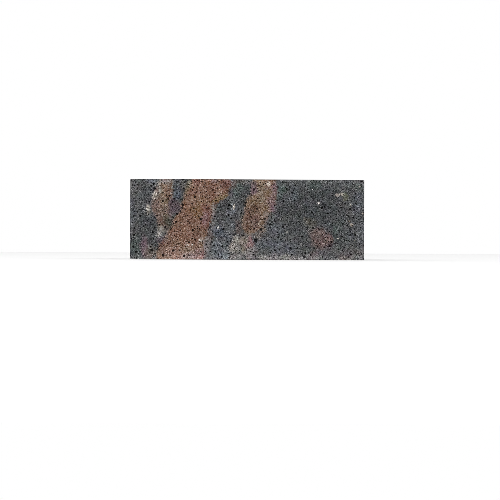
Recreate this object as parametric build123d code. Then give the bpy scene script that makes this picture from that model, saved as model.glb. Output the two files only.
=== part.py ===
"""Walling stone: one block of pressed concrete, laid dry or glued in courses.

The stone is a single piece, solid all through. Its frame has +X along the length, +Y from the
show face to the back and +Z up, with the origin in the middle of the bed that it lies on.
"""

import os

from build123d import *

# Stone, in millimetres
length = 300.0  # along the course
depth = 120.0  # from the show face to the back
height = 103.0  # one course
arris_radius = 1.2  # soft edge that the mould leaves all round

# Void in the show face, under the top arris at the right-hand end, in millimetres
void_length = 5.0  # from tip to tip
void_width = 2.0  # across
void_from_end = 3.1  # its middle, in from the right-hand end
void_below_top = 1.9  # its middle, down from the top bed
void_behind_face = 0.5  # its middle, in from the show face
void_lean = 10.0  # degrees, rising towards the end

# Blowholes in the show face, in millimetres
left_end = -1
right_end = 1
bed = 0
top = 1
blowhole_behind_face = 0.4  # their middles, in from the show face
blowholes = [  # nearer end, middle in from it, nearer level, middle away from it, radius
    (left_end, 28.0, bed, 11.4, 1.8),
    (left_end, 31.4, top, 12.3, 1.6),
    (left_end, 105.0, bed, 22.5, 1.5),
    (right_end, 139.0, bed, 25.0, 2.5),
    (right_end, 132.0, bed, 39.0, 2.1),
    (right_end, 110.0, bed, 29.0, 1.6),
    (right_end, 76.5, bed, 4.2, 1.9),
    (right_end, 54.6, top, 36.2, 1.6),
    (right_end, 47.0, top, 43.4, 1.5),
]


def stone_body():
    """The moulded block, with every edge and corner rounded alike."""
    block = Box(length, depth, height, align=(Align.CENTER, Align.CENTER, Align.MIN))
    return fillet(block.edges(), arris_radius)


def corner_void():
    """A round-ended hollow along the top arris, with its middle just inside the show face."""
    radius = void_width / 2
    half_straight = void_length / 2 - radius
    hollow = Cylinder(radius, 2 * half_straight, rotation=(0, 90, 0))
    for side in (-1, 1):
        hollow += Pos(side * half_straight, 0, 0) * Sphere(radius)
    middle = (
        length / 2 - void_from_end,
        -depth / 2 + void_behind_face,
        height - void_below_top,
    )
    return Location(middle) * Rotation(0, -void_lean, 0) * hollow


def air_bubbles():
    """A round hollow for each blowhole, with its middle just inside the show face."""
    for end, from_end, level, from_level, radius in blowholes:
        along = end * (length / 2 - from_end)
        up = from_level if level == bed else height - from_level
        facing = Rotation(90, 0, 0)  # a pole towards the show face, so that the mouth is a circle of latitude
        yield Pos(along, -depth / 2 + blowhole_behind_face, up) * facing * Sphere(radius)


def walling_stone():
    stone = stone_body() - corner_void()
    for bubble in air_bubbles():
        stone -= bubble
    stone.label = "walling_stone"
    return stone


os.makedirs("parts", exist_ok=True)
export_step(walling_stone(), "parts/walling_stone.step")
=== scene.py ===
import itertools
import math
import random

import bmesh
import bpy
from mathutils import Euler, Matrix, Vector


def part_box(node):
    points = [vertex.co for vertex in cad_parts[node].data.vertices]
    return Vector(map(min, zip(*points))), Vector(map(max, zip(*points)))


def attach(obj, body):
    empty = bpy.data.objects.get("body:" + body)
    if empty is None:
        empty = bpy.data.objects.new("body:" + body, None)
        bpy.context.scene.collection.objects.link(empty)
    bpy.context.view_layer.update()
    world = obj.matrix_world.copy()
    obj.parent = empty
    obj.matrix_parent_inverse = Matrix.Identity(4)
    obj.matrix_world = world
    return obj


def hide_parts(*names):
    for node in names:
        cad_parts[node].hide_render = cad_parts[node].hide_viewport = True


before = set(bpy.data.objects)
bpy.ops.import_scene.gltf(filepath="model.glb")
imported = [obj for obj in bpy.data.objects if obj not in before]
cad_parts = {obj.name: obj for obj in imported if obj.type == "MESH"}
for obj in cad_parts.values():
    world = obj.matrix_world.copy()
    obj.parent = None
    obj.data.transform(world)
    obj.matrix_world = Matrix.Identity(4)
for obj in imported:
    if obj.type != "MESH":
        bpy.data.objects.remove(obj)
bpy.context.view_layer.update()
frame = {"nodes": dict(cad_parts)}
print("frame loaded, nodes:", ", ".join(frame["nodes"]))

mmPerMetre = 1000.0


# shader sums

class Wire:  # a node's output that takes part in sums
    def __init__(self, board, socket):
        self.board = board
        self.socket = socket

    def __add__(self, other):
        return self.board.sum("ADD", self, other)

    def __radd__(self, other):
        return self.board.sum("ADD", other, self)

    def __sub__(self, other):
        return self.board.sum("SUBTRACT", self, other)

    def __rsub__(self, other):
        return self.board.sum("SUBTRACT", other, self)

    def __mul__(self, other):
        return self.board.sum("MULTIPLY", self, other)

    def __rmul__(self, other):
        return self.board.sum("MULTIPLY", other, self)

    def __truediv__(self, other):
        return self.board.sum("DIVIDE", self, other)

    def __rtruediv__(self, other):
        return self.board.sum("DIVIDE", other, self)

    def __pow__(self, other):
        return self.board.sum("POWER", self, other)

    def __rpow__(self, other):
        return self.board.sum("POWER", other, self)

    def __gt__(self, other):
        return self.board.sum("GREATER_THAN", self, other)

    def __abs__(self):
        return self.board.sum("ABSOLUTE", self)


class Board:  # the node tree of one finish
    def __init__(self, tree):
        self.tree = tree
        self.tree.nodes.clear()

    def node(self, kind, settings=None, sockets=None, out=0):
        made = self.tree.nodes.new(kind)
        for name, value in (settings or {}).items():
            if name == "stops":
                self.layStops(made.color_ramp, value)
            else:
                setattr(made, name, value)
        for name, value in (sockets or {}).items():
            if isinstance(value, Wire):
                self.tree.links.new(value.socket, made.inputs[name])
            else:
                made.inputs[name].default_value = value
        return Wire(self, made.outputs[out]) if made.outputs else None

    def layStops(self, ramp, stops):
        while len(ramp.elements) < len(stops):
            ramp.elements.new(1.0)
        for element, (place, value) in zip(ramp.elements, stops):
            element.position = place
            element.color = (value, value, value, value)

    def sum(self, operation, *terms):
        return self.node("ShaderNodeMath", {"operation": operation}, dict(enumerate(terms)))

    def least(self, one, other):
        return self.sum("MINIMUM", one, other)

    def fade(self, value, start, end, low=0.0, high=1.0):  # smooth step from start to end
        settings = {"interpolation_type": "SMOOTHSTEP", "clamp": False}
        return self.node("ShaderNodeMapRange", settings, {0: value, 1: start, 2: end, 3: low, 4: high})

    def ramp(self, value, stops):  # read from the alpha output, a plain number
        return self.node("ShaderNodeValToRGB", {"stops": stops}, {0: value}, 1)

    def vector(self, operation, *terms, out=0):
        return self.node("ShaderNodeVectorMath", {"operation": operation}, dict(enumerate(terms)), out)

    def part(self, whole, axis):  # one number of three
        return self.node("ShaderNodeSeparateXYZ", {}, {0: whole}, axis)

    def join(self, x, y, z):
        return self.node("ShaderNodeCombineXYZ", {}, {0: x, 1: y, 2: z})

    def noise(self, place, waves, detail, out=0):  # waves to the mm; out 0 is a number, 1 three of them
        return self.node("ShaderNodeTexNoise", {}, {"Vector": place, "Scale": waves, "Detail": detail}, out)

    def cells(self, place, size, out):  # out 0 is the way to the cell's middle, 1 its three chances
        return self.node("ShaderNodeTexVoronoi", {}, {"Vector": place, "Scale": 1.0 / size}, out)

    def tint(self, share, under, over, way="MIX"):  # one colour laid over another
        settings = {"data_type": "RGBA", "blend_type": way, "clamp_factor": True}
        return self.node("ShaderNodeMix", settings, {0: share, 6: under, 7: over}, 2)


def tone(red, green, blue):  # screen values, 0 to 255, as light
    light = [part / 12.92 if part <= 0.04045 else ((part + 0.055) / 1.055) ** 2.4
             for part in (red / 255, green / 255, blue / 255)]
    return (*light, 1.0)


# the stone

stone = {  # sizes in mm
    "node": "walling_stone",
    "cells": (60, 24, 20),  # grid along the length, depth and height
    "arris": 1.2,
    "arrisSteps": 3,  # faces across the rounding
    "sharpPast": 45,  # degrees between faces that meet in an arris
    "smoothBelow": 20,  # degrees between faces that shade as one
    "seed": 11,
    "cornerVoid": (146.9, 101.1, 2.6, 1.1, 1.5),  # along, up, half width, half height, depth
    "voidLean": 10.0,  # degrees, rising to the right
    "blowholes": [  # in the show face, in the same way
        (11.0, 25.0, 2.4, 2.8, 2.0),
        (18.0, 39.0, 2.0, 2.2, 1.8),
        (-45.0, 22.5, 1.5, 1.5, 1.4),
        (40.0, 29.0, 1.6, 1.6, 1.4),
        (95.4, 66.8, 1.6, 1.6, 1.6),
        (103.0, 59.6, 2.0, 1.1, 1.4),
        (73.5, 4.2, 2.2, 1.8, 1.7),
        (-122.0, 11.4, 2.0, 1.6, 1.6),
        (-118.6, 90.7, 1.6, 1.6, 1.4),
    ],
    "crumbSpacing": 9.0,  # from one crumbled spot of an arris to the next
    "crumbJitter": (0.3, 1.7),  # shares of that spacing
    "crumbSize": (0.9, 2.2),  # radius
    "crumbStretch": (0.9, 1.8),  # half length along the arris, in radii
    "crumbDepth": (0.2, 0.65),  # below the rounded arris
    "pitArea": 30.0,  # square mm of a side for each pit
    "showPitArea": 17.0,  # the same on the show face
    "pitSize": (0.8, 1.6),  # radius, most of them near the lower end
    "pitStretch": (0.7, 1.3),  # half widths, in radii
    "pitCrowding": 4.5,  # the higher, the fewer large pits
    "pitRise": (-0.3, 0.25),  # middle above the side, as a share of the radius
    "roughness": 0.22,  # how uneven the walls of the hollows are
    "finerPast": 1.6,  # half width from which a hollow has more faces
    "apart": 0.05,  # least distance between neighbouring hollows
    "plot": 6.0,  # side of the boxes in which neighbours are looked up
    "mapGap": 4.0,  # between the islands of the flat map
}
unturned = Euler((0, 0, 0))


def runsAlong(edge, axis):
    way = edge.verts[1].co - edge.verts[0].co
    return abs(way[axis]) > 0.9 * way.length  # the block's edges are square to each other


def sliceAlong(piece, axis, cells):
    bpy.ops.mesh.select_mode(type="EDGE")
    bpy.ops.mesh.select_all(action="DESELECT")
    mesh = bmesh.from_edit_mesh(piece.data)
    for edge in mesh.edges:
        if runsAlong(edge, axis):
            edge.select_set(True)
    bmesh.update_edit_mesh(piece.data)
    bpy.ops.mesh.subdivide(number_cuts=cells - 1)


class Hollows:  # the lumps to be cut out of the block, each clear of its neighbours
    def __init__(self, low, high):
        self.low = low
        self.high = high
        self.dice = random.Random(stone["seed"])
        self.balls = [self.ball(finer) for finer in (1, 2)]
        self.corners = []
        self.faces = []
        self.taken = {}
        self.count = 0

    def ball(self, finer):
        bpy.ops.object.select_all(action="DESELECT")
        bpy.ops.mesh.primitive_ico_sphere_add(subdivisions=finer, radius=1)
        made = bpy.context.active_object
        corners = [corner.co.copy() for corner in made.data.vertices]
        faces = [list(face.vertices) for face in made.data.polygons]
        bpy.data.objects.remove(made)
        return corners, faces

    def lump(self, size, turn, corners):
        for corner in corners:
            uneven = 1 + stone["roughness"] * self.dice.uniform(-1, 1)
            point = Vector(place * half * uneven for place, half in zip(corner, size))
            point.rotate(turn)
            yield point

    def plot(self, spot):
        return tuple(int(place // stone["plot"]) for place in spot)

    def isFree(self, spot, reach):
        i, j, k = self.plot(spot)
        for near in itertools.product((i - 1, i, i + 1), (j - 1, j, j + 1), (k - 1, k, k + 1)):
            for other, otherReach in self.taken.get(near, ()):
                if (other - spot).length < reach + otherReach + stone["apart"]:
                    return False
        return True

    def add(self, spot, size, turn=unturned):
        corners, faces = self.balls[max(size) > stone["finerPast"]]
        points = list(self.lump(size, turn, corners))
        reach = max(point.length for point in points)
        if self.isFree(spot, reach):
            self.taken.setdefault(self.plot(spot), []).append((spot, reach))
            first = len(self.corners)
            self.faces += [[first + corner for corner in face] for face in faces]
            self.corners += [(spot + point) / mmPerMetre for point in points]
            self.count += 1

    def mesh(self):  # all the lumps as one object
        sheet = bpy.data.meshes.new("hollows")
        sheet.from_pydata(self.corners, [], self.faces)
        whole = bpy.data.objects.new("hollows", sheet)
        bpy.context.collection.objects.link(whole)
        return whole


def blowHoles(hollows):
    voidTurn = Euler((0, -math.radians(stone["voidLean"]), 0))
    holes = [(hole, unturned) for hole in stone["blowholes"]]
    holes.append((stone["cornerVoid"], voidTurn))
    for (along, up, halfWidth, halfHeight, depth), turn in holes:
        hollows.add(Vector((along, hollows.low.y, up)), Vector((halfWidth, depth, halfHeight)), turn)


def crumbleArrises(hollows):
    dice = random.Random(stone["seed"])
    middle = (hollows.low + hollows.high) / 2
    half = (hollows.high - hollows.low) / 2
    diagonal = math.sqrt(0.5)  # each way, for one mm straight out of an arris
    inset = stone["arris"] * (1 - diagonal)  # from the sharp corner in to the rounded arris
    for axis in range(3):
        sides = [side for side in range(3) if side != axis]
        for corner in ((-1, -1), (-1, 1), (1, -1), (1, 1)):
            run = -half[axis]
            while run < half[axis]:
                radius = dice.uniform(*stone["crumbSize"])
                depth = dice.uniform(*stone["crumbDepth"])
                out = (radius - depth) * diagonal - inset
                spot = middle.copy()
                spot[axis] += run
                for side, way in zip(sides, corner):
                    spot[side] += way * (half[side] + out)
                size = Vector((radius, radius, radius))
                size[axis] *= dice.uniform(*stone["crumbStretch"])
                hollows.add(spot, size)
                run += stone["crumbSpacing"] * dice.uniform(*stone["crumbJitter"])


def pitSides(hollows):
    dice = random.Random(stone["seed"])
    low, high = hollows.low, hollows.high
    size = high - low
    smallest, largest = stone["pitSize"]
    for axis in range(3):
        sides = [side for side in range(3) if side != axis]
        for level in (low[axis], high[axis]):
            out = 1 if level == high[axis] else -1
            isShow = axis == 1 and level == low.y
            area = stone["showPitArea" if isShow else "pitArea"]
            for pit in range(round(size[sides[0]] * size[sides[1]] / area)):
                radius = min(largest, smallest * (1 - dice.random()) ** (-1 / stone["pitCrowding"]))
                spot = Vector(low[way] + size[way] * dice.random() for way in range(3))
                spot[axis] = level + out * radius * dice.uniform(*stone["pitRise"])
                shape = Vector(radius * dice.uniform(*stone["pitStretch"]) for way in range(3))
                hollows.add(spot, shape, Euler(dice.uniform(0, math.tau) for way in range(3)))


def cutAway(piece, hollows):
    bpy.ops.object.select_all(action="DESELECT")
    piece.select_set(True)
    bpy.context.view_layer.objects.active = piece
    bpy.ops.object.modifier_add(type="BOOLEAN")
    cut = piece.modifiers[-1]
    cut.operation = "DIFFERENCE"
    cut.solver = "MANIFOLD"
    cut.object = hollows
    bpy.ops.object.modifier_apply(modifier=cut.name)
    bpy.data.objects.remove(hollows)


def unfold(piece, low, high):  # flat map of the six sides, one island each, for baked pictures
    size = high - low
    gap = stone["mapGap"]
    page = 2 * size.z + 2 * size.y + 5 * gap
    islands = {  # axis and end of a side: left and foot of its island
        (1, 0): (gap, gap),
        (2, 1): (gap, 2 * gap + size.z),
        (1, 1): (gap, 3 * gap + size.z + size.y),
        (2, 0): (gap, 4 * gap + 2 * size.z + size.y),
        (0, 0): (2 * gap + size.x, gap),
        (0, 1): (2 * gap + size.x, 2 * gap + size.z),
    }
    mesh = piece.data
    chart = mesh.uv_layers.new(name="OFBake")
    for face in mesh.polygons:
        middle = face.center * mmPerMetre
        away = {}
        for axis in range(3):
            away[(axis, 0)] = middle[axis] - low[axis]
            away[(axis, 1)] = high[axis] - middle[axis]
        side = min(away, key=away.get)
        across, rise = [axis for axis in range(3) if axis != side[0]]
        left, foot = islands[side]
        for loop in face.loop_indices:
            spot = mesh.vertices[mesh.loops[loop].vertex_index].co * mmPerMetre
            u = left + spot[across] - low[across]
            v = foot + spot[rise] - low[rise]
            chart.data[loop].uv = (u / page, v / page)


def pittedStone():
    low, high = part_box(stone["node"])
    bpy.ops.object.select_all(action="DESELECT")
    bpy.ops.mesh.primitive_cube_add(size=1, location=(low + high) / 2, scale=high - low)
    piece = bpy.context.active_object
    piece.name = "pitted_stone"
    bpy.ops.object.transform_apply(location=True, rotation=True, scale=True)
    bpy.ops.object.mode_set(mode="EDIT")
    for axis, cells in enumerate(stone["cells"]):
        sliceAlong(piece, axis, cells)
    bpy.ops.mesh.select_all(action="DESELECT")
    bpy.ops.mesh.edges_select_sharp(sharpness=math.radians(stone["sharpPast"]))
    rounding = stone["arris"] / mmPerMetre
    bpy.ops.mesh.bevel(offset=rounding, segments=stone["arrisSteps"], profile=0.5, affect="EDGES")
    bpy.ops.object.mode_set(mode="OBJECT")
    print("block cut and its arrises rounded")

    hollows = Hollows(low * mmPerMetre, high * mmPerMetre)
    for make in (blowHoles, crumbleArrises, pitSides):
        make(hollows)
        print("hollows after", make.__name__ + ":", hollows.count)
    cutAway(piece, hollows.mesh())
    bpy.ops.object.shade_smooth_by_angle(angle=math.radians(stone["smoothBelow"]))
    unfold(piece, hollows.low, hollows.high)
    return piece


# the concrete

pigments = {  # screen tones
    "ash": tone(80, 81, 82),
    "coal": tone(62, 64, 66),
    "slate": tone(83, 88, 98),
    "fern": tone(75, 87, 83),
    "lead": tone(99, 102, 107),
    "mist": tone(122, 126, 131),
    "pearl": tone(128, 124, 124),
    "chalk": tone(150, 146, 141),
    "terracotta": tone(117, 93, 82),
    "brick": tone(115, 83, 79),
    "rust": tone(102, 77, 66),
    "oxblood": tone(90, 64, 61),
    "ochre": tone(114, 92, 72),
    "salmon": tone(143, 118, 109),
    "rose": tone(138, 113, 112),
    "clay": tone(106, 88, 84),
    "mauve": tone(114, 94, 103),
    "plum": tone(82, 72, 77),
    "brown": tone(114, 96, 84),
    "umber": tone(93, 74, 63),
    "fawn": tone(115, 100, 92),
    "tan": tone(131, 112, 97),
    "sand": tone(134, 122, 111),
    "olive": tone(117, 105, 82),
    "moss": tone(104, 106, 90),
    "soot": tone(73, 69, 60),
    "bone": tone(196, 188, 178),
    "white": tone(226, 222, 216),
}

concrete = {  # lengths in mm, noise in waves to the mm
    "grain": 0.9,  # across one grain of sand
    "grainRipple": (1.4, 0.9),  # waves and reach of the unevenness of the grains
    "grainTones": [  # brightness of the grains, from the darkest to the lightest
        (0.0, 0.015), (0.07, 0.045), (0.2, 0.12), (0.5, 0.25),
        (0.8, 0.4), (0.93, 0.57), (0.98, 0.8), (1.0, 1.1),
    ],
    "gain": 4.032,  # brightness of them all
    "calm": (0.08, 0.15, 1.0, 0.82),  # dark and light pigment, and how strongly each shows the grain
    "richness": (1.8, 0.7),  # pigment in the darkest and in the lightest grains
    "scatter": 3.6,  # how far the pigment strays over a border, grain by grain
    "fleckScatter": 1.2,  # the same at the edge of a fleck
    "curls": [(9.0, 2.6), (4.0, 1.6)],  # size and reach of the swirls in the borders
    "inward": 0.2,  # share of the straying that goes into the stone
    "drift": 60.0,  # how far the streaks wander on their way through the stone
    "driftWaves": 0.012,
    "driftDepth": (4.0, 60.0),  # behind the show face, from none to full
    "lean": 0.22,  # sideways for each mm into the stone
    "streakBlur": 2.5,  # half width of a streak's border
    "cloudEdge": (0.6, 1.5),  # where a cloud begins to fade and where it ends, in half widths
    "cloudDepth": (5.0, 0.6),  # least reach into the stone, and its share of half width and half height
    "ground": "ash",
    "streaks": [  # pigment, then rows of height, left border and right border, mm
        ("terracotta", [
            (0, -114, -55), (8, -115, -54), (14, -114, -53), (22, -110, -54), (30, -104, -52),
            (40, -98, -50), (50, -95, -47), (60, -88, -42), (70, -84, -40), (76, -82, -33),
            (82, -80, -26), (90, -76, -22), (103, -71, -23),
        ]),
        ("brown", [
            (26, 2, 3), (32, 0, 6), (38, -4, 14), (42, -6, 21), (50, -6, 25), (60, -3, 30),
            (70, -2, 36), (80, 1, 38), (86, 4, 38), (103, 7, 37),
        ]),
        ("fawn", [
            (36, -112, -116), (44, -113, -107), (54, -115, -101), (62, -120, -99), (72, -121, -99),
            (80, -120, -96), (90, -117, -95), (98, -114, -96), (103, -112, -97),
        ]),
    ],
    "clouds": [  # pigment, along, up, half width, half height, lean sideways for each mm up, strength
        # dark left end
        ("mist", -124, 101, 5, 3, 0, 0.5),
        ("pearl", -146, 91, 6, 10, 0, 0.15),
        ("coal", -127, 88, 5, 8, 0, 0.4),
        ("lead", -146, 54, 5, 9, 0, 0.4),
        ("lead", -147, 74, 4, 7, 0, 0.4),
        ("chalk", -127, 64.5, 3.5, 7, 0, 0.9),
        ("coal", -129, 45, 7, 14, -0.2, 0.65),
        ("coal", -119.5, 45, 3.5, 14, 0, 0.7),
        ("mauve", -132, 17, 4.5, 12, 0, 0.7),
        ("fern", -143, 15, 6, 9, 0, 0.5),
        ("coal", -140, 7, 7, 5, 0, 0.3),
        ("soot", -121, 13, 3, 5, 0, 0.4),
        ("fawn", -125, 8, 7, 9, 0, 0.35),
        ("plum", -109, 26, 7, 4.5, 0, 0.6),
        # tan streak
        ("pearl", -105, 100, 8, 3, 0, 0.6),
        ("tan", -107, 88, 5, 8, 0, 0.7),
        ("terracotta", -102, 86, 4, 8, 0, 0.7),
        ("tan", -105, 83, 5, 5, 0, 0.45),
        ("chalk", -118, 82, 3.0, 4.5, 0, 0.9),
        ("chalk", -113, 91, 2.2, 6, -0.3, 0.7),
        ("olive", -105, 74, 5, 4, 0, 0.4),
        ("clay", -117, 65, 4, 8, 0, 0.4),
        ("soot", -103, 49, 5.5, 8, -0.3, 0.75),
        ("umber", -97.5, 61, 3, 8, 0, 0.55),
        ("plum", -97, 64, 3.5, 8, 0, 0.75),
        ("brown", -106, 40, 5, 6, 0, 0.35),
        ("chalk", -110.5, 35.5, 4, 6.5, 0.3, 0.55),
        # slate slot
        ("coal", -90, 95, 4, 6, 0, 0.6),
        ("slate", -89, 85, 4.5, 8, 0, 0.65),
        ("plum", -93, 70, 6, 8, -0.2, 0.85),
        ("plum", -91, 64, 5, 6, 0, 0.8),
        ("soot", -82, 96, 4, 7, 0, 0.35),
        ("olive", -76, 93, 3, 10, 0.2, 0.45),
        # terracotta streak
        ("oxblood", -65, 99, 4.5, 4, 0, 0.55),
        ("salmon", -36, 87, 6, 5, 0, 0.5),
        ("rust", -43, 99, 7, 3, 0, 0.5),
        ("oxblood", -28, 97, 7, 5.5, 0, 0.85),
        ("rust", -45, 86, 4, 4, 0, 0.55),
        ("rust", -32, 93, 4, 4, 0, 0.5),
        ("olive", -34, 79, 6, 6, 1.4, 0.6),
        ("plum", -21, 86, 2.5, 6, 0, 0.5),
        ("clay", -17, 97, 4, 6, 0, 0.4),
        ("tan", -63, 75, 12, 7, 0, 0.4),
        ("rust", -73, 88, 4, 4, 0, 0.4),
        ("ochre", -66, 61, 10, 8, 0, 0.6),
        ("brick", -52, 62, 6, 8, 0, 0.6),
        ("brick", -54, 47, 5, 9, 0, 0.45),
        ("mauve", -54, 52, 4, 8, 0, 0.4),
        ("umber", -61, 36, 4.5, 4, -0.3, 0.6),
        ("rust", -82, 40, 4, 4, 0, 0.5),
        ("sand", -93, 8, 18, 8, 0, 0.5),
        ("salmon", -93, 9, 16, 8, 0, 0.35),
        ("fawn", -106, 6, 9, 8, 0, 0.6),
        ("sand", -76, 8, 10, 7, 0, 0.55),
        ("rose", -88, 5, 14, 5, 0, 0.3),
        ("salmon", -92, 12, 10, 5, 0, 0.7),
        ("salmon", -84, 7, 14, 4, 0, 0.3),
        ("sand", -99, 26, 7, 6, 0, 0.22),
        ("pearl", -68, 3, 13, 5, 0, 0.5),
        ("rose", -61, 7, 8, 6, 0, 0.85),
        ("salmon", -75, 19, 4, 3, 0, 0.7),
        ("pearl", -52, 12, 4, 7, 0, 0.75),
        ("sand", -56, 14, 4, 5, 0, 0.4),
        ("mist", -46, 8, 5, 8, 0, 0.2),
        ("sand", -58, 25, 4, 4, 0, 0.6),
        ("pearl", -51, 21, 5, 7, 0, 0.65),
        ("plum", -41, 101, 5, 3, 0, 0.5),
        ("pearl", -43, 57, 3.4, 14, 0, 0.65),
        # between the streaks
        ("soot", -9, 100, 7, 3, 0, 0.5),
        ("fern", -11, 88, 6, 9, 0, 0.4),
        ("lead", -18, 83, 4, 8, 0, 0.25),
        ("coal", -11, 72, 5, 8, 0, 0.5),
        ("coal", -2, 86, 4.5, 8, 0, 0.65),
        ("coal", -29, 69, 8, 5, 0.4, 0.55),
        ("mist", -17, 67, 2.6, 5, 0, 0.9),
        ("lead", -22, 60.5, 4, 2.6, 0, 0.7),
        ("lead", -22, 46, 8, 9, 0, 0.3),
        ("clay", -12, 46, 4, 5, 0, 0.4),
        ("fawn", -11, 38, 4, 5, 0, 0.4),
        ("slate", -35, 35, 6, 8, 0, 0.7),
        ("coal", -38, 49, 5, 6, 0, 0.35),
        ("coal", -29, 57, 5, 5, 0, 0.35),
        ("lead", -24, 31, 6, 6, 0, 0.45),
        ("lead", -45, 33, 4, 6, 0, 0.7),
        ("clay", -47, 31, 4, 7, 0, 0.5),
        ("lead", -37, 14, 7, 12, 0, 0.8),
        ("chalk", -13, 25, 5.5, 5, 0, 0.85),
        ("chalk", -16.5, 15, 7, 5.5, 0, 0.9),
        ("pearl", -15, 5, 8, 5, 0, 0.7),
        ("mist", -27, 7, 5, 6, 0, 0.6),
        ("mist", -27, 18, 5, 5, 0, 0.3),
        ("mist", -39, 18, 6, 6, 0, 0.32),
        ("sand", -4, 20, 5, 11, 0, 0.6),
        ("pearl", 9.5, 12, 3.5, 5, 0, 0.8),
        # brown streak
        ("mauve", 8, 88, 4, 6, 0, 0.8),
        ("plum", 8, 96, 4, 4, 0, 0.7),
        ("sand", 18, 87, 6, 9, 0, 0.45),
        ("rose", 29, 93, 5, 5, 0, 0.4),
        ("sand", 21, 77, 5, 3, 0, 0.5),
        ("tan", 8, 78, 6, 5, 0, 0.45),
        ("mauve", 31.5, 74, 4.5, 9, 0, 0.55),
        ("mauve", 35, 91, 3.4, 8, 0, 0.65),
        ("mauve", 33, 65, 4, 5, 0, 0.6),
        ("plum", 35, 67, 3, 6, 0, 0.35),
        ("clay", 7, 49, 10, 10, 0, 0.75),
        ("umber", 8, 65, 6, 5, 0.4, 0.85),
        ("umber", 2, 56, 5, 7, 0, 0.6),
        ("tan", 22, 64, 6, 7, 0, 0.35),
        ("umber", 2, 40, 6, 5, 0, 0.65),
        ("pearl", 25, 56, 4, 7, 0, 0.35),
        ("sand", 20, 46, 4, 4, 0, 0.5),
        ("sand", 20, 38, 4, 4, 0, 0.6),
        ("pearl", 4, 31, 8, 3, 0, 0.35),
        ("rose", 4, 22, 4, 8, 0, 0.8),
        ("pearl", 3, 9, 5, 7, 0, 0.8),
        # dark right end
        ("fern", 43, 90, 5, 10, 0, 0.6),
        ("coal", 43, 98, 5, 4, 0, 0.4),
        ("fern", 87, 95, 8, 5, 0, 0.5),
        ("lead", 58, 93, 7, 5, 0, 0.4),
        ("coal", 82, 72, 36, 20, 0, 0.6),
        ("coal", 94, 57, 12, 9, 0, 0.4),
        ("coal", 103, 46, 5, 5, 0, 0.5),
        ("coal", 54, 59, 6, 6, 0, 0.5),
        ("coal", 113, 53, 6, 6, 0, 0.4),
        ("coal", 103, 78, 6, 6, 0, 0.35),
        ("coal", 68, 48, 6, 6, 0, 0.4),
        ("lead", 132, 33, 6, 6, 0, 0.35),
        ("lead", 58, 79, 5, 8, 0.4, 0.5),
        ("coal", 104, 86, 7, 6, 0, 0.5),
        ("moss", 126, 81, 3.6, 4.5, 0, 0.65),
        ("slate", 142, 74, 7, 14, 0, 0.25),
        ("fern", 144, 95, 4, 4, 0, 0.5),
        ("lead", 147, 34, 4, 18, 0, 0.5),
        ("fern", 113, 36, 4, 10, 0, 0.4),
        ("coal", 114.5, 27, 6, 6, 0, 0.7),
        ("olive", 77, 51, 5, 5, 0, 0.22),
        ("soot", 83, 47, 6, 6, 0, 0.5),
        ("clay", 95, 28, 13, 11, -0.2, 0.6),
        ("clay", 91, 20, 9, 6, 0, 0.4),
        ("rose", 91, 37, 8, 4, -0.2, 0.3),
        ("rose", 106, 26, 4, 6, 0, 0.35),
        ("plum", 106, 17, 3, 4, 0, 0.4),
        ("mist", 17, 20, 6, 9, 0, 0.3),
        ("sand", 15, 31, 4, 5, 0, 0.35),
        ("lead", 36, 22, 13, 9, 0, 0.5),
        ("slate", 58, 13, 10, 7, 0, 0.35),
        ("lead", 38, 39, 8, 7, 0, 0.5),
        ("lead", 50, 19, 11, 8, 0, 0.3),
        ("mist", 38, 10, 8, 5, 0, 0.4),
        ("pearl", 32, 2, 22, 5, 0, 0.65),
        ("pearl", 66, 1, 14, 4, 0, 0.6),
        ("clay", 86, 7, 6, 6, 0, 0.35),
        ("pearl", 120, 3, 22, 4, 0, 0.1),
        ("clay", 127, 3, 10, 5, 0, 0.3),
        ("pearl", 146, 10, 5, 7, 0, 0.5),
        ("pearl", 135, 13, 7, 5, 0, 0.22),
        ("pearl", 89, 4, 7, 4, 0, 0.4),
        ("pearl", 100, 9, 45, 4, 0, 0.15),
    ],
    "flecks": [  # the same, with clean edges
        ("bone", 27.5, 97, 2.2, 3.0, 0, 0.75),
        ("white", 91.3, 72.8, 1.7, 1.2, 0, 0.9),
        ("bone", 115.5, 83.3, 2.8, 2.0, 0, 0.5),
        ("bone", 121.6, 84.2, 2.8, 1.8, 0, 0.6),
        ("bone", 133.9, 45.4, 1.9, 1.6, 0, 0.9),
        ("white", 83.6, 90.7, 0.7, 0.7, 0, 0.9),
        ("bone", 147.9, 60, 0.8, 0.8, 0, 0.8),
        ("bone", 132.8, 71.2, 0.7, 1.2, 0, 0.8),
        ("bone", 137.6, 25.3, 0.7, 0.7, 0, 0.9),
        ("bone", 117, 28, 0.7, 0.7, 0, 0.8),
        ("chalk", 144, 94.5, 1.2, 0.9, 0, 0.8),
        ("sand", 130.5, 49.6, 1.6, 0.9, 0, 0.8),
        ("white", -37, 41, 1.0, 1.3, 0, 0.9),
        ("bone", 51.7, 35.5, 0.8, 0.8, 0, 0.8),
        ("bone", -59, 25, 1.8, 1.8, 0, 0.8),
        ("white", -76, 18.5, 1.3, 1.0, 0, 0.8),
        ("white", -70, 18.5, 1.2, 1.0, 0, 0.8),
        ("bone", -127.5, 66, 1.6, 3.4, 0, 0.5),
        ("bone", -118, 83, 2.0, 4.2, 0.2, 0.55),
        ("bone", -112.5, 32, 1.6, 3.4, 0.3, 0.35),
        ("bone", -17, 68, 1.3, 3.4, 0.1, 0.75),
    ],
    "depths": [  # clouds inside the stone: pigment, size in mm, threshold, strength
        ("coal", 30.0, 0.52, 0.6),
        ("lead", 22.0, 0.54, 0.6),
        ("clay", 36.0, 0.57, 0.55),
        ("fern", 26.0, 0.56, 0.5),
        ("pearl", 15.0, 0.62, 0.6),
    ],
    "depthsBlur": 0.1,  # from the threshold to full strength
    "depthsApart": 200.0,  # so that no two pigments share their places
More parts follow.
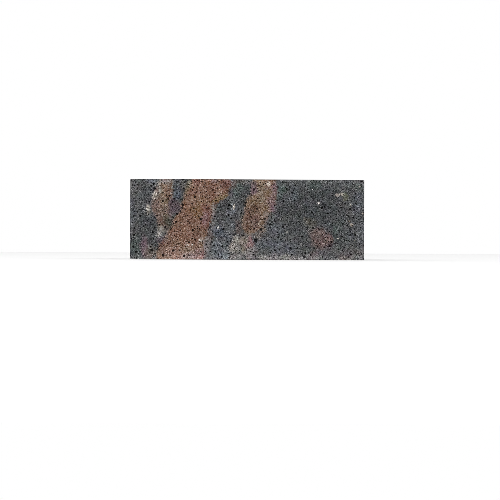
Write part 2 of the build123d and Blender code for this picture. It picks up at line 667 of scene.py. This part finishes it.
    "innerDepth": (3.0, 16.0),  # behind the show face, from none to full
    "cast": 0.12,  # how much the grey leans to other tints
    "castWaves": 0.11,
    "mottle": (0.16, 0.75, 0.5),  # waves, least brightness and swing
    "footBloom": (8.5, 1.0, 0.7),  # heights from none to full, and strength
    "topLighter": (92.0, 100.0, 0.22),
    "topShade": (101.7, 102.6, 0.25),  # the same for the shadow of the top arris
    "topShadeDepth": (3.0, 1.5),  # behind the show face, from none to full
    "pinSpacing": 2.1,
    "pinEdge": (0.22, 0.36),  # rim of a pinhole, in spacings
    "pinRarity": 0.6,  # share of the places without one
    "pinShade": 0.7,
    "pitShade": (0.12, 0.8, 0.14),  # painted shade and dust in pits: depths from none to full, and the light left
    "roughness": (0.86, 0.12),  # least, and how much more by chance
    "gloss": 0.08,
    "reliefWaves": 1.8,
    "reliefDomes": 0.6,  # share of the grains in the relief
    "reliefStrength": 0.6,
    "reliefHeight": 0.4,
}


def laidStreaks(board, along, up, low, high):  # streaks of pigment on the grey ground
    size = high - low
    blur = concrete["streakBlur"]
    colour = pigments[concrete["ground"]]
    for pigment, rows in concrete["streaks"]:
        borders = []
        for side in (1, 2):
            stops = [(row[0] / size.z, (row[side] - low.x) / size.x) for row in rows]
            borders.append(board.ramp(up / size.z, stops) * size.x + low.x)
        inside = board.least(along - borders[0], borders[1] - along)
        colour = board.tint(board.fade(inside, -blur, blur), colour, pigments[pigment])
    return colour


def laidClouds(board, colour, rows, field, low):  # patches of pigment that begin at the show face
    core, rim = concrete["cloudEdge"]
    leastReach, reachShare = concrete["cloudDepth"]
    leaning = {0: field}
    for pigment, midAlong, midUp, halfWidth, halfHeight, lean, strength in rows:
        if lean not in leaning:
            x, y, z = [board.part(field, axis) for axis in range(3)]
            leaning[lean] = board.join(x - z * lean, y, z)
        reach = max(leastReach, (halfWidth + halfHeight) * reachShare)
        size = Vector((1.0 / halfWidth, 1.0 / reach, 1.0 / halfHeight))
        middle = Vector((midAlong - lean * midUp, low.y, midUp))
        ball = board.vector("MULTIPLY_ADD", leaning[lean], size, -(middle * size))
        away = board.vector("LENGTH", ball, out=1)
        colour = board.tint(board.fade(away, core, rim, strength, 0.0), colour, pigments[pigment])
    return colour


def innerClouds(board, colour, spot, depth):  # behind the show face the clouds are left to chance
    inner = board.fade(depth, *concrete["innerDepth"])
    for count, (pigment, size, threshold, strength) in enumerate(concrete["depths"]):
        aside = board.vector("ADD", spot, (concrete["depthsApart"] * count, 0.0, 0.0))
        cloud = board.noise(aside, 1.0 / size, detail=2.0)
        share = board.fade(cloud, threshold, threshold + concrete["depthsBlur"], 0.0, strength) * inner
        colour = board.tint(share, colour, pigments[pigment])
    return colour


def grainShade(board, mm, luck, grey):  # brightness of each grain, with a slow mottle
    shade = board.ramp(luck, concrete["grainTones"]) * concrete["gain"]
    shade = shade ** board.fade(grey, *concrete["calm"])
    waves, least, swing = concrete["mottle"]
    return shade * (least + board.noise(mm, waves, detail=3.0) * swing)


def limeBloom(board, shade, up):  # lighter along the foot, as lime bloom, and lighter towards the top
    for start, end, strength in (concrete["footBloom"], concrete["topLighter"]):
        shade = shade * (1.0 + board.fade(up, start, end) * strength)
    return shade


def arrisShadow(board, z, depth):  # where the top meets the show face
    start, end, strength = concrete["topShade"]
    return board.fade(z, start, end) * board.fade(depth, *concrete["topShadeDepth"]) * strength


def pinHoles(board, mm):  # pinholes too fine for the mesh: a mask that paints their shade and dents the relief
    away = board.cells(mm, concrete["pinSpacing"], 0)
    luck = board.part(board.cells(mm, concrete["pinSpacing"], 1), 0)
    return board.fade(away, *concrete["pinEdge"], 1.0, 0.0) * (luck > concrete["pinRarity"])


def pitLight(board, x, y, z, high):  # painted shade and dust in the pits and crumbled arrises, darker the deeper they sink
    sunk = board.least(high.x - abs(x), high.y - abs(y))
    sunk = board.least(sunk, high.z / 2 - abs(z - high.z / 2))
    start, end, left = concrete["pitShade"]
    return board.fade(sunk, start, end, 1.0, left)


def marbledConcrete():
    low, high = [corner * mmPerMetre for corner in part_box(stone["node"])]
    material = bpy.data.materials.new("marbled_concrete")
    material.use_nodes = True
    board = Board(material.node_tree)
    place = board.node("ShaderNodeTexCoord", out=3)  # Object coordinates
    mm = board.vector("MULTIPLY", place, (mmPerMetre, mmPerMetre, mmPerMetre))
    x, y, z = [board.part(mm, axis) for axis in range(3)]
    depth = y - low.y  # behind the show face

    # grains of sand, each with chances of its own
    waves, reach = concrete["grainRipple"]
    ripple = board.noise(mm, waves, detail=1.0, out=1)
    grit = board.vector("MULTIPLY_ADD", ripple, (reach, reach, reach), mm)
    chance = board.cells(grit, concrete["grain"], 1)
    dome = board.cells(grit, concrete["grain"], 0)
    luck = board.part(chance, 0)
    mood = board.part(chance, 1)

    # the streaks run into the stone, wander there and fray at their borders
    half = (0.5, 0.5, 0.5)
    inward = concrete["inward"]
    swirl = mm
    for size, reach in concrete["curls"]:
        curl = board.noise(mm, 1.0 / size, detail=1.0, out=1)
        shift = board.vector("SUBTRACT", curl, half)
        swirl = board.vector("MULTIPLY_ADD", shift, (2 * reach, 2 * reach * inward, 2 * reach), swirl)
    stray = board.vector("SUBTRACT", chance, half)
    spread = concrete["fleckScatter"]
    crisp = board.vector("MULTIPLY_ADD", stray, (spread, spread, spread), mm)
    spread = concrete["scatter"]
    spot = board.vector("MULTIPLY_ADD", stray, (spread, spread * inward, spread), swirl)
    far = board.noise(mm, concrete["driftWaves"], detail=1.0)
    wander = (far - 0.5) * (2 * concrete["drift"]) * board.fade(depth, *concrete["driftDepth"])
    along = board.part(spot, 0) - depth * concrete["lean"] + wander
    up = board.part(spot, 2)

    colour = laidStreaks(board, along, up, low, high)
    colour = laidClouds(board, colour, concrete["clouds"], spot, low)
    colour = laidClouds(board, colour, concrete["flecks"], crisp, low)
    colour = innerClouds(board, colour, spot, depth)

    # the grey leans to green, blue and violet by turns
    cast = board.noise(swirl, concrete["castWaves"], detail=2.0, out=1)
    colour = board.tint(concrete["cast"], colour, cast, "SOFT_LIGHT")

    # dark grains are richer in pigment than light ones
    grey = board.node("ShaderNodeRGBToBW", {}, {0: colour})
    rich = board.fade(luck, 0.0, 1.0, *concrete["richness"])
    colour = board.vector("MULTIPLY_ADD", board.vector("SUBTRACT", colour, grey), rich, grey)

    shade = limeBloom(board, grainShade(board, mm, luck, grey), up)
    shade = shade * (1.0 - arrisShadow(board, z, depth))
    pinhole = pinHoles(board, mm)
    # painted shade in the pinholes
    shade = shade * (1.0 - pinhole * concrete["pinShade"])
    # painted shade and dust in the pits and crumbled arrises
    shade = shade * pitLight(board, x, y, z, high)
    colour = board.tint(1.0, colour, board.join(shade, shade, shade), "MULTIPLY")

    least, more = concrete["roughness"]
    roughness = least + mood * more
    bumps = board.noise(mm, concrete["reliefWaves"], detail=3.0) - dome * concrete["reliefDomes"] - pinhole
    relief = board.node("ShaderNodeBump", {}, {
        "Strength": concrete["reliefStrength"],
        "Distance": concrete["reliefHeight"] / mmPerMetre,
        "Height": bumps,
    })
    shader = board.node("ShaderNodeBsdfPrincipled", {}, {
        "Base Color": colour,
        "Roughness": roughness,
        "Specular IOR Level": concrete["gloss"],
        "Normal": relief,
    })
    board.node("ShaderNodeOutputMaterial", {}, {"Surface": shader})
    return material


body = pittedStone()
body.data.materials.clear()
body.data.materials.append(marbledConcrete())
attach(body, "root")
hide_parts(stone["node"])
print("stone:", len(body.data.polygons), "faces")


# floor, light and camera

studio = {
    "floor": 8.0,  # metres across
    "floorTone": 0.95,
    "floorRoughness": 0.9,
    "sky": 0.95,  # light from all round
    "paper": 1.0,  # what the camera sees of it
    "key": 9.0,  # watts
    "keyPlace": (-0.75, -1.45, 1.45),
    "keyAim": (0, 0, 0.05),
    "keySize": 1.5,
}


def layFloor():
    bpy.ops.object.select_all(action="DESELECT")
    bpy.ops.mesh.primitive_plane_add(size=studio["floor"], location=(0, 0, 0))
    floor = bpy.context.active_object
    floor.name = "floor"
    material = bpy.data.materials.new("pale_floor")
    material.use_nodes = True
    board = Board(material.node_tree)
    white = (studio["floorTone"],) * 3 + (1.0,)
    sockets = {"Base Color": white, "Roughness": studio["floorRoughness"]}
    shader = board.node("ShaderNodeBsdfPrincipled", {}, sockets)
    board.node("ShaderNodeOutputMaterial", {}, {"Surface": shader})
    floor.data.materials.append(material)


def hangLights():
    world = bpy.data.worlds.new("studio")
    world.use_nodes = True
    bpy.context.scene.world = world
    board = Board(world.node_tree)
    white = (1, 1, 1, 1)
    seen = board.node("ShaderNodeLightPath")
    glow = board.node("ShaderNodeBackground", {}, {"Color": white, "Strength": studio["sky"]})
    paper = board.node("ShaderNodeBackground", {}, {"Color": white, "Strength": studio["paper"]})
    shown = board.node("ShaderNodeMixShader", {}, {0: seen, 1: glow, 2: paper})
    board.node("ShaderNodeOutputWorld", {}, {"Surface": shown})
    bpy.ops.object.light_add(type="AREA", location=studio["keyPlace"])
    key = bpy.context.active_object
    key.name = "key"
    key.data.size = studio["keySize"]
    key.data.energy = studio["key"]
    key.rotation_euler = (Vector(studio["keyAim"]) - key.location).to_track_quat("-Z", "Y").to_euler()


shot = {  # where the show face lies in the picture, in its 500 pixels each way
    "size": 500,
    "left": 129.9,
    "right": 364.1,
    "top": 179.3,
    "bottom": 259.8,
    "lens": 100.0,
    "sensor": 36.0,
    "roll": 0.27,  # degrees
    "sight": 50,  # metres that the camera sees
}


def placeCamera():
    low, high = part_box(stone["node"])
    pitch = (high.x - low.x) / (shot["right"] - shot["left"])  # metres to a pixel
    back = pitch * shot["size"] * shot["lens"] / shot["sensor"]
    half = shot["size"] / 2
    bpy.ops.object.camera_add()
    camera = bpy.context.active_object
    camera.data.lens = shot["lens"]
    camera.data.sensor_width = shot["sensor"]
    camera.data.clip_end = shot["sight"]
    camera.location = (
        (low.x + high.x) / 2 + (half - (shot["left"] + shot["right"]) / 2) * pitch,
        low.y - back,
        (low.z + high.z) / 2 - (half - (shot["top"] + shot["bottom"]) / 2) * pitch,
    )
    camera.rotation_euler = (math.radians(90), -math.radians(shot["roll"]), 0)
    bpy.context.scene.camera = camera


layFloor()
hangLights()
placeCamera()
bpy.context.scene.view_settings.view_transform = "Standard"
bpy.context.scene.cycles.filter_width = 0.6  # crisp pixels
bpy.context.scene.cycles.denoising_prefilter = "NONE"  # keeps the grain of the stone
print("studio set")
